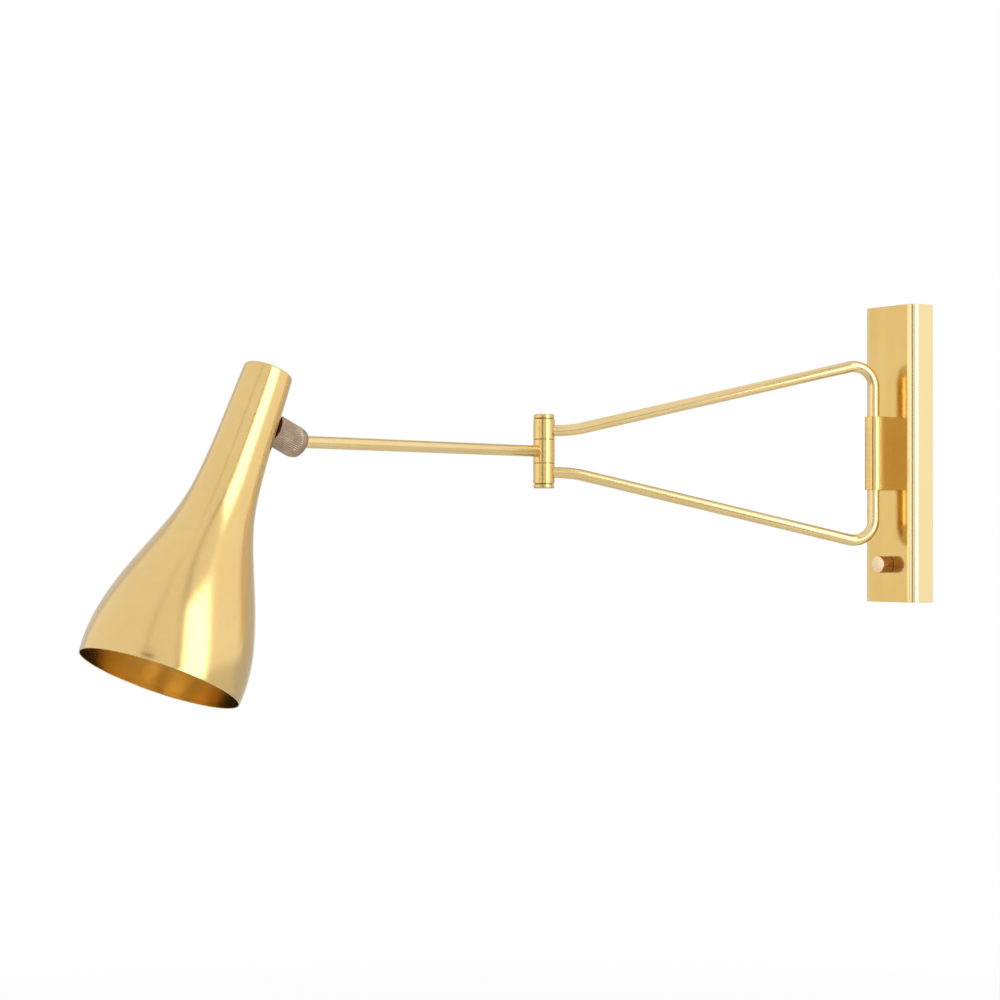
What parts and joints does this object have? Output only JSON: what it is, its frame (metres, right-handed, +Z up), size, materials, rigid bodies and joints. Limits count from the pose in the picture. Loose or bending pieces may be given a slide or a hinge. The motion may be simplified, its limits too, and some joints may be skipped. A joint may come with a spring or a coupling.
{
  "type": "wall sconce",
  "caption": "Swing-arm wall sconce in brass: a bent-tube frame and a long arm fold out from a tall backplate and carry a bell shade on a ball swivel.",
  "frame": {"origin": "centre of the backplate's wall face, midway between the two wall screws", "axes": "+Y into the wall, -Y out into the room, +Z up, +X along the wall"},
  "size_m": [0.2215, 0.9074, 0.4065],
  "materials": {
    "plate_brass": "satin, softly polished",
    "brass": "polished",
    "shade_brass": "polished outside, brushed inside",
    "knurled_brass": "fine straight knurl, satin",
    "knob_brass": "satin",
    "steel": "zinc plated",
    "bronze": "machined",
    "dark_washer": "dark sliding washer",
    "nylon": "natural nylon",
    "moulding": "moulded",
    "holder_ceramic": "glazed",
    "contact_brass": "drawn",
    "bulb_metal": "pressed",
    "bulb_glass": "frosted",
    "lead_cover": "insulated lead"
  },
  "bodies": {
    "wall_plate": {"wall_bracket": "steel", "backplate_cover": "plate_brass", "cover_screws": "brass", "ground_screw": "steel", "terminal_block": "moulding", "backing_plate": "steel", "pivot_block": "brass", "upper_bush": "bronze", "lower_bush": "bronze", "pivot_screws": "steel", "stop_pin": "steel", "dimmer_body": "moulding", "dimmer_washer": "steel", "dimmer_nut": "steel", "lamp_leads": "lead_cover", "dimmer_leads": "lead_cover"},
    "dimmer_knob_body": {"dimmer_shaft": "steel", "dimmer_knob": "knob_brass"},
    "frame": {"frame_tube": "brass", "upper_knuckle": "brass", "lower_knuckle": "brass", "elbow_pin": "steel", "elbow_cap_top": "brass", "elbow_cap_bottom": "brass", "elbow_washers": "dark_washer"},
    "arm": {"arm_hub": "brass", "arm_tube": "brass", "arm_stem": "steel", "stem_nut": "steel"},
    "ball": {"swivel_ball": "brass"},
    "seat": {"friction_seat": "nylon", "seat_spring": "steel", "spring_keeper": "steel"},
    "shade": {"swivel_socket": "knurled_brass", "socket_retainer": "knurled_brass", "shade_nipple": "steel", "shade_shell": "shade_brass", "inner_saddle": "steel", "holder_strap": "steel", "holder_screws": "steel", "neck_nut": "steel", "lampholder": "holder_ceramic", "screw_shell": "contact_brass", "centre_contact": "contact_brass", "bulb_cap": "bulb_metal", "bulb_envelope": "bulb_glass"}
  },
  "joints": [
    {"name": "frame_swing", "type": "hinge", "parent": "wall_plate", "child": "frame", "pos_m": [0, -0.05, 0], "axis": [0, 0, 1], "range_deg": [-60.7, 119.3]},
    {"name": "elbow_swing", "type": "hinge", "parent": "frame", "child": "arm", "pos_m": [-0.17275, -0.35784, 0], "axis": [0, 0, 1], "range_deg": [-157.8, 82.2]},
    {"name": "ball_twist", "type": "hinge", "parent": "arm", "child": "ball", "pos_m": [-0.12353, -0.68718, 0], "axis": [0.1478, -0.989, 0], "range_deg": [-90, 90]},
    {"name": "shade_tilt", "type": "hinge", "parent": "ball", "child": "seat", "pos_m": [-0.12353, -0.68718, 0], "axis": [-0.989, -0.1478, 0], "range_deg": [-53.4, 6.6]},
    {"name": "shade_spin", "type": "hinge", "parent": "seat", "child": "shade", "pos_m": [-0.12353, -0.68718, 0], "axis": [0.1357, -0.9077, 0.3971], "range_deg": [-165, 165]},
    {"name": "dimmer_turn", "type": "hinge", "parent": "wall_plate", "child": "dimmer_knob_body", "pos_m": [0, -0.037, -0.118], "axis": [0, 1, 0], "range_deg": [0, 270]}
  ]
}
